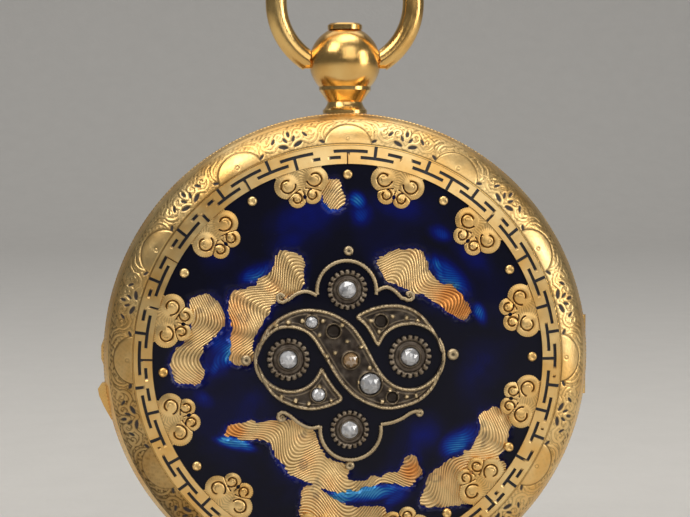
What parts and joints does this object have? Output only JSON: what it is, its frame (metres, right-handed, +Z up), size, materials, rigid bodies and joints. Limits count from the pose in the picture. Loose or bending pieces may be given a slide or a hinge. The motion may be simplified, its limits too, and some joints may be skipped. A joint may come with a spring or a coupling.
{
  "type": "fob watch",
  "caption": "Ladies' key-wound open-face fob watch with hinged enamelled back cover, cuvette, glazed bezel, ball pendant and swinging bow.",
  "frame": {"origin": "lowest point of the case rim, in the middle of the band's thickness", "axes": "+Z up from the rim to the pendant and bow, +Y out of the dial side, -Y out of the enamelled back cover, +X towards the hinges"},
  "size_m": [0.0366, 0.011, 0.0503],
  "materials": {
    "gold_case": null,
    "enamel": "translucent dark blue fired enamel, chipped",
    "oxidised_silver": "aged silver with milgrain edges",
    "diamond": "rose-cut stones",
    "crystal_glass": "clear bevelled glass",
    "dial_enamel": "white fired enamel",
    "gilt_brass": "matt gilt",
    "steel": "polished steel",
    "blued_steel": "heat-blued steel",
    "ruby": "ruby jewels"
  },
  "bodies": {
    "case": {"case_band": "gold_case", "pendant": "gold_case", "pendant_cap": "gold_case", "back_hinge_pin": "steel", "bezel_hinge_pin": "steel", "cuvette_hinge_pin": "steel", "main_plate": "gilt_brass", "barrel_bridge": "gilt_brass", "centre_bridge": "gilt_brass", "third_cock": "gilt_brass", "fourth_cock": "gilt_brass", "escape_cock": "gilt_brass", "balance_cock": "gilt_brass", "plate_jewels": "ruby", "cock_jewels": "ruby", "bridge_screws": "blued_steel", "case_screws": "blued_steel", "click_screw": "blued_steel", "click_spring": "steel", "hairspring": "blued_steel", "hairspring_stud": "steel", "balance_endstone": "ruby", "dial": "dial_enamel"},
    "bow": {"bow": "gold_case"},
    "back_cover": {"back_cover": "gold_case", "back_enamel": "enamel", "motif_setting": "oxidised_silver", "motif_rosettes": "oxidised_silver", "motif_wires": "oxidised_silver", "diamonds": "diamond"},
    "cuvette": {"cuvette": "gold_case"},
    "bezel": {"bezel": "gold_case", "crystal": "crystal_glass"},
    "winding_arbor": {"barrel_arbor": "steel", "ratchet_wheel": "steel"},
    "click": {"click": "steel"},
    "barrel": {"barrel": "gilt_brass", "barrel_cover": "gilt_brass", "mainspring": "steel"},
    "centre_wheel": {"centre_wheel": "gilt_brass"},
    "third_wheel": {"third_wheel": "gilt_brass"},
    "fourth_wheel": {"fourth_wheel": "gilt_brass"},
    "escape_wheel": {"escape_wheel": "steel"},
    "balance": {"balance_wheel": "gilt_brass", "balance_cylinder": "steel"},
    "regulator": {"regulator": "steel"},
    "minute_work": {"setting_arbor": "steel", "cannon_pinion": "steel", "minute_hand": "blued_steel"},
    "minute_wheel": {"minute_wheel": "gilt_brass"},
    "hour_work": {"hour_wheel": "gilt_brass", "hour_hand": "blued_steel"}
  },
  "joints": [
    {"name": "bow_swing", "type": "hinge", "parent": "case", "child": "bow", "pos_m": [0, 0, 0.0399], "axis": [1, 0, 0], "range_deg": [-120, 120]},
    {"name": "back_cover_hinge", "type": "hinge", "parent": "case", "child": "back_cover", "pos_m": [0.01765, -0.00155, 0.018], "axis": [0, 0, 1], "range_deg": [0, 110]},
    {"name": "cuvette_hinge", "type": "hinge", "parent": "case", "child": "cuvette", "pos_m": [0.01645, -0.00305, 0.018], "axis": [0, 0, 1], "range_deg": [0, 88]},
    {"name": "bezel_hinge", "type": "hinge", "parent": "case", "child": "bezel", "pos_m": [0.01765, 0.00155, 0.018], "axis": [0, 0, -1], "range_deg": [0, 110]},
    {"name": "winding", "type": "hinge", "parent": "case", "child": "winding_arbor", "pos_m": [0.00338, 0, 0.02436], "axis": [0, -1, 0], "continuous": true},
    {"name": "click_pivot", "type": "hinge", "parent": "case", "child": "click", "pos_m": [0.00477, -0.00287, 0.02735], "axis": [0, -1, 0], "range_deg": [0, 6]},
    {"name": "fourth_wheel_turn", "type": "hinge", "parent": "case", "child": "fourth_wheel", "pos_m": [-0.00139, -0.001, 0.01293], "axis": [0, -1, 0], "continuous": true},
    {"name": "third_wheel_turn", "type": "hinge", "parent": "case", "child": "third_wheel", "pos_m": [0.00196, -0.001, 0.01415], "axis": [0, -1, 0], "continuous": true},
    {"name": "centre_wheel_turn", "type": "hinge", "parent": "case", "child": "centre_wheel", "pos_m": [0, -0.001, 0.018], "axis": [0, -1, 0], "continuous": true},
    {"name": "barrel_turn", "type": "hinge", "parent": "case", "child": "barrel", "pos_m": [0.00338, -0.0005, 0.02436], "axis": [0, -1, 0], "continuous": true},
    {"name": "escape_wheel_turn", "type": "hinge", "parent": "case", "child": "escape_wheel", "pos_m": [-0.00438, -0.0006, 0.01154], "axis": [0, -1, 0], "continuous": true},
    {"name": "balance_swing", "type": "hinge", "parent": "case", "child": "balance", "pos_m": [-0.00661, -0.0016, 0.01292], "axis": [0, -1, 0], "range_deg": [-110, 110], "stiffness_Nm_per_rad": 0.0000012},
    {"name": "regulator_turn", "type": "hinge", "parent": "case", "child": "regulator", "pos_m": [-0.00661, -0.00283, 0.01292], "axis": [0, -1, 0], "range_deg": [-18, 18]},
    {"name": "hand_setting", "type": "hinge", "parent": "case", "child": "minute_work", "pos_m": [0, 0.002, 0.018], "axis": [0, -1, 0], "continuous": true},
    {"name": "minute_wheel_turn", "type": "hinge", "parent": "case", "child": "minute_wheel", "pos_m": [-0.00271, 0.0012, 0.01701], "axis": [0, -1, 0], "continuous": true},
    {"name": "hour_work_turn", "type": "hinge", "parent": "case", "child": "hour_work", "pos_m": [0, 0.002, 0.018], "axis": [0, -1, 0], "continuous": true}
  ],
  "couplings": [
    {"joint": "cuvette_hinge", "follows": "back_cover_hinge", "ratio": 0.8},
    {"joint": "third_wheel_turn", "follows": "fourth_wheel_turn", "ratio": -0.13333},
    {"joint": "centre_wheel_turn", "follows": "fourth_wheel_turn", "ratio": 0.016667},
    {"joint": "barrel_turn", "follows": "fourth_wheel_turn", "ratio": -0.0020833},
    {"joint": "escape_wheel_turn", "follows": "fourth_wheel_turn", "ratio": -10},
    {"joint": "minute_wheel_turn", "follows": "hand_setting", "ratio": -0.33333},
    {"joint": "hour_work_turn", "follows": "hand_setting", "ratio": 0.083333}
  ]
}
